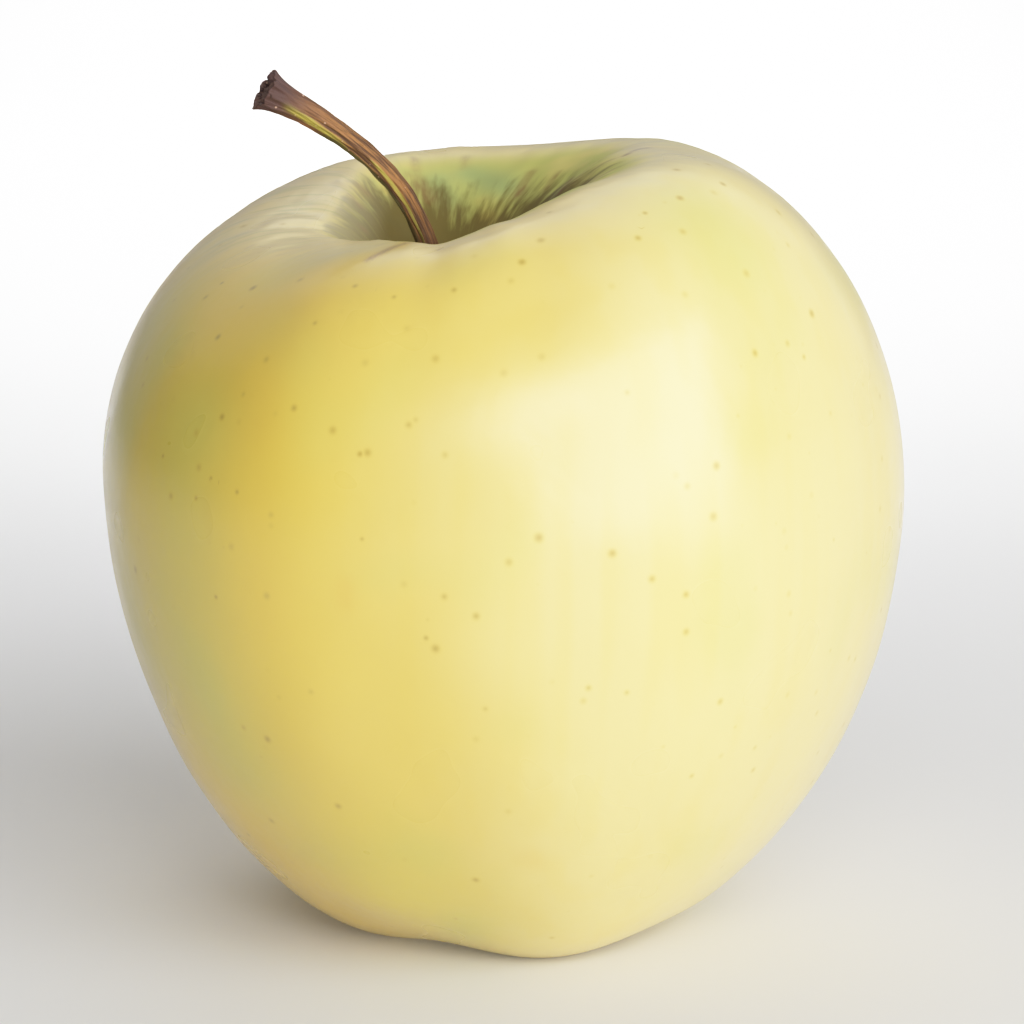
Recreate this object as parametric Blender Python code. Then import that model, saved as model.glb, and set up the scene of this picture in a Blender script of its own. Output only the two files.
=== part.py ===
"""A whole yellow apple with its stem and its dried calyx, standing on the five lobes of its foot.

Metres, +Z up. The origin is on the ground, under the middle of the fruit's box. Angles go round the
core in degrees, from +X through +Y.
"""
import math
from collections import namedtuple

import bmesh
import bpy
from mathutils import Vector

# Rings of the fruit: distance from the core, and height above the foot's mean level
CREST_RADIUS = 0.0190
CREST_HEIGHT = 0.0728
WIDEST_RADIUS = 0.0390
WIDEST_HEIGHT = 0.0443
FOOT_RADIUS = 0.0130
CORE_LEAN = 0.0013             # how far the core leans to -X from the foot to the crest

# Stem cavity, with the pit that the stem stands in
CAVITY_FLOOR = 0.0580
PIT_OFFSET = 0.0048            # from the core towards -X
SOCKET_RADIUS = 0.0014
SOCKET_DEPTH = 0.0020
CAVITY_WALL_STEEPNESS = 0.32   # how high the wall climbs close to the socket, as a share of its height
CAVITY_FLOOR_ROUNDING = 0.15   # how far out the floor reaches before the wall climbs, as a share of its width
CAVITY_MOUTH_ROUNDING = 0.42   # how early the wall rolls over into the crest, as a share of its width

# Fullness of the shoulder above the widest ring and of the flank below it
SHOULDER_OUT = 0.63
SHOULDER_DOWN = 0.49
FLANK_DOWN = 0.58
FOOT_OUT = 0.34

# Calyx basin under the fruit
BASIN_DEPTH = 0.0078
BASIN_ROOF_RADIUS = 0.0032
BASIN_WALL = 0.55              # where the wall is steepest, as a share of the way in to the roof

# Uneven growth round the core: how many lobes, how far each swings from the mean, angle of one peak
Wave = namedtuple("Wave", "lobes swing peak")
CREST_HEIGHT_WAVES = (Wave(1, 0.00376, -1), Wave(2, 0.00088, -41), Wave(4, 0.00031, -44))
CREST_RADIUS_WAVES = (Wave(1, 0.00110, 79), Wave(2, 0.00270, -77), Wave(5, 0.00130, -30))
WIDEST_RADIUS_WAVES = (Wave(2, 0.00034, -37), Wave(5, 0.00079, 1))
WIDEST_HEIGHT_WAVES = (Wave(1, 0.00174, 120),)
FOOT_RADIUS_WAVES = (Wave(1, 0.00120, -140), Wave(2, 0.00174, -45))
FOOT_LOBES = Wave(5, 0.00040, -76)
FOOT_LOBE_SPREAD = 0.5         # how much further out a lobe reaches, as a share of how much lower it is
FOOT_CUT = 0.00028             # what the fruit's own weight flattens off the lowest lobes
CUT_SNAP = 0.00012             # skin points this near the cut are moved onto it

# Stem: a woody stalk that bends to -X and flares where it broke off the spur
STEM_RADIUS = 0.00098
STEM_FOOT_SWELL = 0.00010
STEM_END_FLARE = 0.00099
STEM_FLARE_LENGTH = 0.0034
STEM_RISE = 0.0169             # straight up from the socket before the bend
STEM_BEND = Vector((-0.0131, 0.0008, 0.0771))
STEM_TIP = Vector((-0.0222, -0.0015, 0.0826))
STEM_END_DISH = 0.00045
STEM_END_RIM = 0.55            # the dish's floor, as a share of the end's radius
STEM_END_WAVES = (Wave(2, 0.10, -17), Wave(3, 0.06, 19))

# Dried calyx: five sepals on a short cup, hanging in the basin
CALYX_RADIUS = 0.0027
CALYX_CUP = 0.0014             # down to the notches between the sepals
SEPAL_LENGTH = 0.0052
SEPAL_WAIST = 0.0009           # how far the sepals lean in below the cup
SEPAL_WAIST_END = 0.7          # where they are back out, as a share of their length
SEPAL_CURL = 0.0022            # how far their tips roll out
SEPAL_THICKNESS = 0.00050
CALYX_FLOOR = 0.0008           # down to the floor inside the cup
SEPALS = 5

TOUCH_GAP = 0.0003             # left between the fruit and what is set into it

# Facets
SKIN_COLUMNS = 72
CAVITY_RINGS, SHOULDER_RINGS, FLANK_RINGS, BASIN_RINGS = 14, 14, 18, 8
STEM_COLUMNS, STEM_RINGS = 16, 30
CALYX_COLUMNS, SEPAL_RINGS = 60, 6

# Colours in linear light
SKIN_COLOUR = (0.78, 0.66, 0.17, 1.0)
STEM_COLOUR = (0.16, 0.085, 0.035, 1.0)
CALYX_COLOUR = (0.10, 0.065, 0.030, 1.0)

Meridian = namedtuple("Meridian", "angle crest_r crest_z wide_r wide_z foot_r foot_z")


def clear_scene():
    """Empties the scene of whatever it holds."""
    for item in list(bpy.data.objects):
        bpy.data.objects.remove(item, do_unlink=True)


def material(name, colour, roughness):
    """A plain surface of one colour."""
    made = bpy.data.materials.new(name)
    made.use_nodes = True
    shader = made.node_tree.nodes["Principled BSDF"]
    shader.inputs["Base Color"].default_value = colour
    shader.inputs["Roughness"].default_value = roughness
    shader.inputs["Metallic"].default_value = 0.0
    made.diffuse_color = colour
    return made


def bezier(a, b, c, d, t):
    """The cubic Bezier curve through a and d with handles b and c, for numbers or vectors."""
    s = 1.0 - t
    return a * s**3 + b * (3 * s * s * t) + c * (3 * s * t * t) + d * t**3


def swing(waves, angle):
    """The sum of the waves at an angle round the core."""
    return sum(w.swing * math.cos(math.radians(w.lobes * (angle - w.peak))) for w in waves)


def meridian(angle):
    """The sizes of the fruit's rings at one angle round the core."""
    foot_z = -swing([FOOT_LOBES], angle)
    return Meridian(
        angle,
        CREST_RADIUS + swing(CREST_RADIUS_WAVES, angle),
        CREST_HEIGHT + swing(CREST_HEIGHT_WAVES, angle),
        WIDEST_RADIUS + swing(WIDEST_RADIUS_WAVES, angle),
        WIDEST_HEIGHT + swing(WIDEST_HEIGHT_WAVES, angle),
        FOOT_RADIUS + swing(FOOT_RADIUS_WAVES, angle) - FOOT_LOBE_SPREAD * foot_z,
        foot_z,
    )


def core_x(height):
    """Where the leaning core stands at a height; it stands at 0 in the widest ring."""
    return -CORE_LEAN * (height - WIDEST_HEIGHT) / CREST_HEIGHT


def skin_point(m, radius, height, pit_share=0.0):
    """A point of the skin; pit_share moves its ring's middle from the core to the pit."""
    angle = math.radians(m.angle)
    middle = core_x(height) - PIT_OFFSET * pit_share
    return Vector((middle + radius * math.cos(angle), radius * math.sin(angle), height))


def cavity_point(m, t):
    """The wall of the stem cavity, from the socket's edge at t = 0 to the crest at t = 1."""
    share = bezier(0.0, CAVITY_FLOOR_ROUNDING, 1.0 - CAVITY_MOUTH_ROUNDING, 1.0, t)
    knee = CAVITY_FLOOR + CAVITY_WALL_STEEPNESS * (m.crest_z - CAVITY_FLOOR)
    height = bezier(CAVITY_FLOOR, knee, m.crest_z, m.crest_z, t)
    radius = SOCKET_RADIUS + (m.crest_r - SOCKET_RADIUS) * share
    return skin_point(m, radius, height, 1.0 - share)


def shoulder_point(m, t):
    """The shoulder, from the crest to the widest ring."""
    out = m.crest_r + SHOULDER_OUT * (m.wide_r - m.crest_r)
    down = m.wide_z + SHOULDER_DOWN * (m.crest_z - m.wide_z)
    radius = bezier(m.crest_r, out, m.wide_r, m.wide_r, t)
    return skin_point(m, radius, bezier(m.crest_z, m.crest_z, down, m.wide_z, t))


def flank_point(m, t):
    """The flank, from the widest ring to the foot."""
    down = m.wide_z - FLANK_DOWN * (m.wide_z - m.foot_z)
    out = m.foot_r + FOOT_OUT * (m.wide_r - m.foot_r)
    radius = bezier(m.wide_r, m.wide_r, out, m.foot_r, t)
    return skin_point(m, radius, bezier(m.wide_z, down, m.foot_z, m.foot_z, t))


def basin_point(m, t):
    """The wall of the calyx basin, from the foot to the edge of its flat roof."""
    steep = m.foot_r + BASIN_WALL * (BASIN_ROOF_RADIUS - m.foot_r)
    radius = bezier(m.foot_r, steep, steep, BASIN_ROOF_RADIUS, t)
    return skin_point(m, radius, bezier(m.foot_z, m.foot_z, BASIN_DEPTH, BASIN_DEPTH, t))


def socket_rings(meridians):
    """The socket's middle, its floor's edge and, last, the edge where it opens into the cavity."""
    floor = CAVITY_FLOOR - SOCKET_DEPTH
    middle = skin_point(meridians[0], 0.0, floor, 1.0)
    return [[middle], [skin_point(m, SOCKET_RADIUS, floor, 1.0) for m in meridians]]


def skin_between(bm, rings):
    """Joins rings of points into one closed surface; the first and the last may be a single point."""
    made = [[bm.verts.new(point) for point in ring] for ring in rings]
    for upper, lower in zip(made, made[1:]):
        count = max(len(upper), len(lower))
        for i in range(count):
            j = (i + 1) % count
            if len(upper) == 1:
                bm.faces.new((upper[0], lower[i], lower[j]))
            elif len(lower) == 1:
                bm.faces.new((upper[j], upper[i], lower[0]))
            else:
                bm.faces.new((upper[i], lower[i], lower[j], upper[j]))
    bmesh.ops.recalc_face_normals(bm, faces=bm.faces)


def cut_foot(bm):
    """Cuts the lowest lobes level, and gives the height of the cut."""
    level = min(v.co.z for v in bm.verts) + FOOT_CUT
    parts = bm.verts[:] + bm.edges[:] + bm.faces[:]
    bmesh.ops.bisect_plane(bm, geom=parts, dist=CUT_SNAP, plane_co=(0, 0, level), plane_no=(0, 0, -1),
                           use_snap_center=True, clear_outer=True)
    bmesh.ops.holes_fill(bm, edges=[e for e in bm.edges if e.is_boundary], sides=0)
    return level


def object_from(bm, name, finish):
    """Makes the named object from the mesh being edited."""
    mesh = bpy.data.meshes.new(name)
    bm.to_mesh(mesh)
    bm.free()
    mesh.shade_smooth()
    mesh.materials.append(finish)
    made = bpy.data.objects.new(name, mesh)
    bpy.context.collection.objects.link(made)
    return made


def build_fruit():
    """The fruit in one piece, and the level that it stands on."""
    meridians = [meridian(360.0 * i / SKIN_COLUMNS) for i in range(SKIN_COLUMNS)]
    rings = socket_rings(meridians)
    rings += [[cavity_point(m, i / CAVITY_RINGS) for m in meridians] for i in range(CAVITY_RINGS)]
    rings += [[shoulder_point(m, i / SHOULDER_RINGS) for m in meridians] for i in range(SHOULDER_RINGS)]
    rings += [[flank_point(m, i / FLANK_RINGS) for m in meridians] for i in range(FLANK_RINGS)]
    rings += [[basin_point(m, i / BASIN_RINGS) for m in meridians] for i in range(BASIN_RINGS + 1)]
    rings.append([skin_point(meridians[0], 0.0, BASIN_DEPTH)])
    bm = bmesh.new()
    skin_between(bm, rings)
    level = cut_foot(bm)
    return object_from(bm, "apple_body", material("apple skin", SKIN_COLOUR, 0.35)), level


def stem_middle(t):
    """The stem's middle line, from the socket at t = 0 to the broken end."""
    foot = Vector((core_x(CAVITY_FLOOR) - PIT_OFFSET, 0.0, CAVITY_FLOOR - SOCKET_DEPTH + TOUCH_GAP))
    return bezier(foot, foot + Vector((0, 0, STEM_RISE)), STEM_BEND, STEM_TIP, t)


def stem_radius(from_end, from_foot, angle):
    """The stem's radius: swollen at its foot, flared and uneven at its broken end."""
    flare = math.exp(-from_end / STEM_FLARE_LENGTH)
    swell = STEM_FOOT_SWELL * math.exp(-from_foot / STEM_FLARE_LENGTH)
    return STEM_RADIUS + swell + STEM_END_FLARE * flare * (1.0 + swing(STEM_END_WAVES, angle))


def build_stem():
    """The stem: round rings set square to its middle line, closed by a dished end."""
    middles = [stem_middle(i / STEM_RINGS) for i in range(STEM_RINGS + 1)]
    run = [0.0]
    for a, b in zip(middles, middles[1:]):
        run.append(run[-1] + (b - a).length)
    rings = [[middles[0]]]
    for i, middle in enumerate(middles):
        along = (middles[min(i + 1, STEM_RINGS)] - middles[max(i - 1, 0)]).normalized()
        side = along.cross(Vector((0, 1, 0))).normalized()
        front = side.cross(along)
        ring = []
        for k in range(STEM_COLUMNS):
            angle = 360.0 * k / STEM_COLUMNS
            turn = math.radians(angle)
            radius = stem_radius(run[-1] - run[i], run[i], angle)
            ring.append(middle + radius * (math.cos(turn) * side + math.sin(turn) * front))
        rings.append(ring)
    end = middles[-1]
    rings.append([end + STEM_END_RIM * (point - end) - STEM_END_DISH * along for point in ring])
    rings.append([end - STEM_END_DISH * along])
    bm = bmesh.new()
    skin_between(bm, rings)
    return object_from(bm, "stem", material("stem bark", STEM_COLOUR, 0.75))


def sepal_reach(angle):
    """How far the calyx reaches down at an angle: to a sepal's tip or to the notch between two."""
    turn = (angle * SEPALS / 360.0) % 1.0
    return CALYX_CUP + (SEPAL_LENGTH - CALYX_CUP) * (1.0 - abs(2.0 * turn - 1.0))


def sepal_point(angle, down, inset):
    """A point of a sepal's face, so far down from the calyx's seat and inset from its outer face."""
    share = down / SEPAL_LENGTH
    waist = SEPAL_WAIST * math.sin(math.pi * min(1.0, share / SEPAL_WAIST_END))
    radius = CALYX_RADIUS - waist + SEPAL_CURL * share**4 - inset
    turn = math.radians(angle)
    seat = BASIN_DEPTH - TOUCH_GAP
    return Vector((core_x(seat) + radius * math.cos(turn), radius * math.sin(turn), seat - down))


def build_calyx():
    """The calyx: the sepals' outer faces down to their edge, then the inner faces up to the cup's floor."""
    angles = [360.0 * k / CALYX_COLUMNS for k in range(CALYX_COLUMNS)]
    rings = [[sepal_point(0.0, 0.0, CALYX_RADIUS)]]
    for i in range(SEPAL_RINGS + 1):
        rings.append([sepal_point(a, sepal_reach(a) * i / SEPAL_RINGS, 0.0) for a in angles])
    for i in range(SEPAL_RINGS, -1, -1):
        share = i / SEPAL_RINGS
        rings.append([sepal_point(a, CALYX_FLOOR + (sepal_reach(a) - CALYX_FLOOR) * share, SEPAL_THICKNESS)
                      for a in angles])
    rings.append([sepal_point(0.0, CALYX_FLOOR, CALYX_RADIUS)])
    bm = bmesh.new()
    skin_between(bm, rings)
    return object_from(bm, "calyx", material("dried calyx", CALYX_COLOUR, 0.85))


def stand(pieces, fruit, level):
    """Stands the pieces on the ground, centred on the origin, under one parent."""
    xs = [v.co.x for v in fruit.data.vertices]
    ys = [v.co.y for v in fruit.data.vertices]
    apple = bpy.data.objects.new("apple", None)
    apple.location = (-(min(xs) + max(xs)) / 2, -(min(ys) + max(ys)) / 2, -level)
    bpy.context.collection.objects.link(apple)
    for piece in pieces:
        piece.parent = apple


def main():
    """Builds the apple."""
    clear_scene()
    fruit, level = build_fruit()
    stand([fruit, build_stem(), build_calyx()], fruit, level)


main()
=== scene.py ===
"""The looks of one whole yellow apple: its waxy skin, woody stem and dried calyx, and a plain studio.

Metres, +Z up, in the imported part's own frame: the origin is on the ground under the middle of the
fruit. Angles go round the core in degrees, from +X through +Y. The camera looks along +Y.
"""

import logging
import math
from dataclasses import dataclass, field
from enum import Enum
from typing import ClassVar

import bpy
import numpy as np
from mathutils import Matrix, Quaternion, Vector


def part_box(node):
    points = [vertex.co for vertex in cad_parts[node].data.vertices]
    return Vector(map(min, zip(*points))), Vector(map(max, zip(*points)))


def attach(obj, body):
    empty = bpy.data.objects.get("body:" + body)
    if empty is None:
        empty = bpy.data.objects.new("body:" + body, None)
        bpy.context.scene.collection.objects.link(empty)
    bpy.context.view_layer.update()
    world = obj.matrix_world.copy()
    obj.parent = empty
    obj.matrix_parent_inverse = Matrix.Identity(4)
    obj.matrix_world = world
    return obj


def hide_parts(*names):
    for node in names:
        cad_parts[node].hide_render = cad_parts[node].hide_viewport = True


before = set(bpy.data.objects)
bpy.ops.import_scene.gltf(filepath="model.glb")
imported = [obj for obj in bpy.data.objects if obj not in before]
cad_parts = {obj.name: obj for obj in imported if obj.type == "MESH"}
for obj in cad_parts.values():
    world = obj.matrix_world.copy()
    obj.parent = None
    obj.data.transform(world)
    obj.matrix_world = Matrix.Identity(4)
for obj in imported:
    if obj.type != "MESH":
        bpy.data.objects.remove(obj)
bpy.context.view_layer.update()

log = logging.getLogger("apple")

Array = np.ndarray
Colour = tuple[float, float, float]
Socket = bpy.types.NodeSocket
Feed = float | Socket
ColourFeed = Colour | Socket

MM = 0.001
CM = 0.01
FACE_SHARE = 1.06              # what the stem's end face carries as its share of the length
PHOTO_SIDE = 1024              # the photograph's width and height in pixels
SENSOR = 0.036                 # the camera sensor's width


class Solid(Enum):
    """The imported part's solids."""

    FRUIT = "apple_body"
    STEM = "stem"
    CALYX = "calyx"


class Slot(Enum):
    """The record's material slots."""

    SKIN = "skin"
    STEM = "stem"
    CALYX = "calyx"


class Trace(Enum):
    """The names under which a piece's mesh carries what its finish reads."""

    HOLLOW = "hollow"        # how deep in the stem's hollow
    BROWNED = "browned"      # how far past the edge of its dark floor: russet with painted shade
    LINED = "lined"          # how strongly the fine lines across the crest, and the painted sheen laid with them, show
    STAIN = "stain"          # russet strokes
    BLUSH = "blush"          # orange tints
    GREEN_AND_SHADE = "greening"    # green tints, and painted shade on the left flank
    DOT = "dot"              # where the lenticel is that is near
    DOT_SCALE = "dot_scale"  # one over its radius, in millimetres
    DOT_FADE = "dot_fade"    # how much fainter than the rest it is
    RUN = "run"              # the way that fibres and streaks run
    ALONG = "along"          # the share of the stem's length
    YOUNG = "young"          # the stem's yellow stripes
    OLIVE = "olive"          # the stem's dark green edge


@dataclass(frozen=True)
class Wave:
    """Growth that is uneven round the core: how many lobes, how far they swing, where one peaks."""

    lobes: int
    swing: float
    peak: float

    def at(self, angle: Array) -> Array:
        """The wave at angles round the core, in degrees."""
        return self.swing * np.cos(np.radians(self.lobes * (angle - self.peak)))


@dataclass(frozen=True)
class Fold:
    """A narrow rise, or dip, at one angle round the core."""

    angle: float
    width: float
    height: float

    def at(self, angle: Array) -> Array:
        """The fold at angles round the core, in degrees."""
        away = (angle - self.angle + 180.0) % 360.0 - 180.0
        return self.height * np.exp(-((away / self.width) ** 2))


@dataclass(frozen=True)
class Rib:
    """A low rib, or a furrow, that runs down the fruit.

    The angle is where it crosses mid height, and the lean is in degrees round the core for each
    centimetre up. Low and high are its heights near the foot and near the crest.
    """

    LOW_END: ClassVar[float] = 0.012
    MIDDLE: ClassVar[float] = 0.040
    HIGH_END: ClassVar[float] = 0.062

    angle: float
    lean: float
    width: float
    low: float
    high: float

    def at(self, angle: Array, height: Array) -> Array:
        """The rib at angles round the core, in degrees, and heights."""
        upright = angle + self.lean * (height - self.MIDDLE) / CM
        share = (height - self.LOW_END) / (self.HIGH_END - self.LOW_END)
        return Fold(self.angle, self.width, 1.0).at(upright) * (self.low + share * (self.high - self.low))


def summed(parts: tuple[Wave | Fold, ...], angle: Array) -> Array:
    """The sum of waves and folds at angles round the core, in degrees."""
    return sum(part.at(angle) for part in parts) + np.zeros_like(angle)


def bezier(a: Array, b: Array, c: Array, d: Array, t: Array) -> Array:
    """The cubic curve through a and d with handles b and c."""
    s = 1.0 - t
    return a * s**3 + b * (3 * s * s * t) + c * (3 * s * t * t) + d * t**3


def ramp(value: Array, low: float, high: float) -> Array:
    """A smooth step from 0 at low to 1 at high."""
    share = np.clip((value - low) / (high - low), 0.0, 1.0)
    return share * share * (3.0 - 2.0 * share)


class Unevenness:
    """A smooth random field in space: plane waves with seeded directions and phases."""

    WAVES = 30

    def __init__(self, wavelength: float, seed: int) -> None:
        """Draws the waves.

        Args:
            wavelength: The typical distance from one rise to the next.
            seed: Where the random draw starts.
        """
        draw = np.random.default_rng(seed)
        ways = draw.normal(size=(self.WAVES, 3))
        ways /= np.linalg.norm(ways, axis=1)[:, None]
        counts = 2.0 * math.pi / wavelength * draw.uniform(0.7, 1.4, self.WAVES)
        self.ways = ways * counts[:, None]
        self.phases = draw.uniform(0.0, 2.0 * math.pi, self.WAVES)

    def at(self, points: Array) -> Array:
        """The field at points: about -1 to 1, and 0 on average."""
        return np.cos(points @ self.ways.T + self.phases).sum(-1) / math.sqrt(2 * self.WAVES)


def write_trace(mesh: bpy.types.Mesh, trace: Trace, values: Array) -> None:
    """Writes what a finish reads at each point of the mesh: a number, or a vector where it has 3 columns."""
    wide = values.ndim == 2 and values.shape[1] == 3
    held = mesh.attributes.new(trace.value, "FLOAT_VECTOR" if wide else "FLOAT", "POINT")
    held.data.foreach_set("vector" if wide else "value", values.astype(np.float32).ravel())


class Shell:
    """Closed surfaces joined into one mesh, with the numbers that its finish reads at each point."""

    def __init__(self, name: str) -> None:
        """Starts an empty mesh of that name."""
        self.name = name
        self.points: list[Array] = []
        self.faces: list[tuple[int, ...]] = []
        self.traces: dict[Trace, list[Array]] = {}
        self.count = 0

    def add(self, first: Array, rings: Array, last: Array, traces: dict[Trace, Array] | None = None) -> None:
        """Adds one closed surface.

        Args:
            first: The point that closes the first ring.
            rings: The points, as rings by columns by 3. Seen from the first ring's end, the columns
                go round clockwise where the surface faces outwards.
            last: The point that closes the last ring.
            traces: What the finish reads, as rings by columns, or with a last axis of 3.
        """
        count, columns = rings.shape[:2]
        start = self.count
        end = start + 1 + count * columns
        for j in range(columns):
            k = (j + 1) % columns
            self.faces.append((start, start + 1 + j, start + 1 + k))
            for ring in range(count - 1):
                here = start + 1 + ring * columns
                below = here + columns
                self.faces.append((here + j, below + j, below + k, here + k))
            self.faces.append((end - columns + k, end - columns + j, end))
        self.points.append(np.concatenate([first[None], rings.reshape(-1, 3), last[None]]))
        self.count = end + 1
        for trace, values in (traces or {}).items():
            flat = values.reshape(count * columns, -1)
            ends = flat[:columns].mean(0)[None], flat[-columns:].mean(0)[None]
            self.traces.setdefault(trace, []).append(np.concatenate([ends[0], flat, ends[1]]))

    def built(self) -> bpy.types.Object:
        """Makes the object.

        Returns:
            The new object, smooth shaded, with its traces as attributes of its points.
        """
        mesh = bpy.data.meshes.new(self.name)
        mesh.from_pydata(np.concatenate(self.points).tolist(), [], self.faces)
        mesh.shade_smooth()
        for trace, parts in self.traces.items():
            write_trace(mesh, trace, np.concatenate(parts))
        made = bpy.data.objects.new(self.name, mesh)
        bpy.context.scene.collection.objects.link(made)
        return made


class Sheet:
    """A material's nodes, with a short method for each kind that the finishes use."""

    def __init__(self, name: str) -> None:
        """Makes the material with its one surface shader."""
        self.material = bpy.data.materials.new(name)
        self.material.use_nodes = True
        self.tree = self.material.node_tree
        self.shader = self.tree.nodes["Principled BSDF"]

    def add(self, kind: str, **settings: object) -> bpy.types.Node:
        """Adds a node of that kind with those settings."""
        node = self.tree.nodes.new(kind)
        for name, value in settings.items():
            setattr(node, name, value)
        return node

    def feed(self, socket: Socket, value: Feed | ColourFeed) -> None:
        """Links value into the socket, or sets it there if it is a number, a vector or a colour."""
        if isinstance(value, Socket):
            self.tree.links.new(value, socket)
        elif socket.type == "RGBA":
            socket.default_value = (*value, 1.0)
        else:
            socket.default_value = value

    def wear(self, **inputs: Feed | ColourFeed) -> None:
        """Feeds the surface shader's inputs, named as it names them, with _ for a space."""
        for name, value in inputs.items():
            self.feed(self.shader.inputs[name.replace("_", " ")], value)

    def millimetres(self) -> Socket:
        """Places on the piece, in millimetres."""
        place = self.add("ShaderNodeTexCoord").outputs["Object"]
        return self.vector("SCALE", place, scale=1.0 / MM)

    def trace(self, trace: Trace) -> Socket:
        """What the mesh carries under that name: a number."""
        return self.add("ShaderNodeAttribute", attribute_name=trace.value).outputs["Fac"]

    def way(self, trace: Trace) -> Socket:
        """What the mesh carries under that name: a vector."""
        return self.add("ShaderNodeAttribute", attribute_name=trace.value).outputs["Vector"]

    def math(self, operation: str, a: Feed, b: Feed = 0.0, c: Feed = 0.0) -> Socket:
        """A sum on two numbers, or three."""
        node = self.add("ShaderNodeMath", operation=operation)
        for socket, value in zip(node.inputs, (a, b, c)):
            self.feed(socket, value)
        return node.outputs[0]

    def vector(
        self, operation: str, a: Socket, b: Socket | Colour = (0.0, 0.0, 0.0), scale: float = 1.0
    ) -> Socket:
        """A sum on two vectors; of DISTANCE and DOT_PRODUCT the number, of the others the vector."""
        node = self.add("ShaderNodeVectorMath", operation=operation)
        self.feed(node.inputs[0], a)
        if operation == "SCALE":
            node.inputs["Scale"].default_value = scale
        else:
            self.feed(node.inputs[1], b)
        return node.outputs["Value" if operation in ("DISTANCE", "DOT_PRODUCT") else "Vector"]

    def noise(
        self, where: Socket, size: float, detail: float = 2.0, rough: float = 0.5, warp: float = 0.0
    ) -> Socket:
        """Cloudy noise, about 0.5 on average.

        Args:
            where: The vector that it is read at.
            size: The size of its largest clouds, in where's units.
            detail: How many finer layers it has.
            rough: How strong each finer layer is.
            warp: How far it is bent by itself.

        Returns:
            The number, mostly from 0.25 to 0.75.
        """
        node = self.add("ShaderNodeTexNoise")
        self.feed(node.inputs["Vector"], where)
        inputs = {"Scale": 1.0 / size, "Detail": detail, "Roughness": rough, "Distortion": warp}
        for name, value in inputs.items():
            node.inputs[name].default_value = value
        return node.outputs[0]

    def cells(self, where: Socket, size: float) -> tuple[Socket, Socket]:
        """Scattered points: the distance to the nearest, in cells, and a random colour for each."""
        node = self.add("ShaderNodeTexVoronoi")
        self.feed(node.inputs["Vector"], where)
        node.inputs["Scale"].default_value = 1.0 / size
        return node.outputs["Distance"], node.outputs["Color"]

    def step(self, value: Feed, low: Feed, high: Feed, start: float = 0.0, end: float = 1.0) -> Socket:
        """A smooth step from start, where value is low, to end, where it is high."""
        node = self.add("ShaderNodeMapRange", interpolation_type="SMOOTHSTEP")
        inputs = {"Value": value, "From Min": low, "From Max": high, "To Min": start, "To Max": end}
        for name, number in inputs.items():
            self.feed(node.inputs[name], number)
        return node.outputs[0]

    def blend(self, share: Feed, a: ColourFeed, b: ColourFeed, mode: str = "MIX") -> Socket:
        """Colour a with that share of colour b laid over it."""
        node = self.add("ShaderNodeMix", data_type="RGBA", blend_type=mode)
        colours = [socket for socket in node.inputs if socket.type == "RGBA"]
        self.feed(node.inputs[0], share)
        self.feed(colours[0], a)
        self.feed(colours[1], b)
        return next(socket for socket in node.outputs if socket.type == "RGBA")

    def relief(self, height: Socket, depth: float, over: Socket | None = None) -> Socket:
        """A bent surface direction.

        Args:
            height: The low relief's height, from 0 to 1.
            depth: What 1 stands for, in metres.
            over: The direction that it is laid over, if not the surface's own.

        Returns:
            The direction.
        """
        node = self.add("ShaderNodeBump")
        node.inputs["Distance"].default_value = depth
        self.feed(node.inputs["Height"], height)
        if over is not None:
            self.feed(node.inputs["Normal"], over)
        return node.outputs["Normal"]


@dataclass(frozen=True)
class PhotoCamera:
    """The camera at the photograph's angle. Places and lengths are in metres, angles in degrees."""

    elevation: float = 14.0
    distance: float = 0.600
    lens: float = 0.2151
    aim: tuple[float, float, float] = (0.00081, 0.00056, 0.04026)

    def back(self) -> Vector:
        """The direction from the fruit to the camera."""
        rise = math.radians(self.elevation)
        return Vector((0.0, -math.cos(rise), math.sin(rise)))

    def place(self) -> Vector:
        """Where the camera stands."""
        return Vector(self.aim) + self.distance * self.back()

    def ray(self, x: float, y: float) -> Vector:
        """The direction in which the camera sees a pixel of the photograph."""
        turn = (-self.back()).to_track_quat("-Z", "Y")
        side = SENSOR / PHOTO_SIDE
        half = PHOTO_SIDE / 2.0
        return turn @ Vector(((x - half) * side, (half - y) * side, -self.lens)).normalized()

    def build(self) -> None:
        """Adds the camera and makes it the scene's."""
        data = bpy.data.cameras.new("photo_camera")
        data.lens = self.lens / MM
        data.sensor_width = SENSOR / MM
        data.clip_start = 0.01
        data.clip_end = 50.0
        made = bpy.data.objects.new("photo_camera", data)
        made.location = self.place()
        made.rotation_mode = "QUATERNION"
        made.rotation_quaternion = (-self.back()).to_track_quat("-Z", "Y")
        bpy.context.scene.collection.objects.link(made)
        bpy.context.scene.camera = made


@dataclass(frozen=True)
class Lenticel:
    """A lenticel that stands out on the skin, at a pixel of the photograph. The radius is in millimetres."""

    x: float
    y: float
    radius: float
    strength: float


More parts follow.
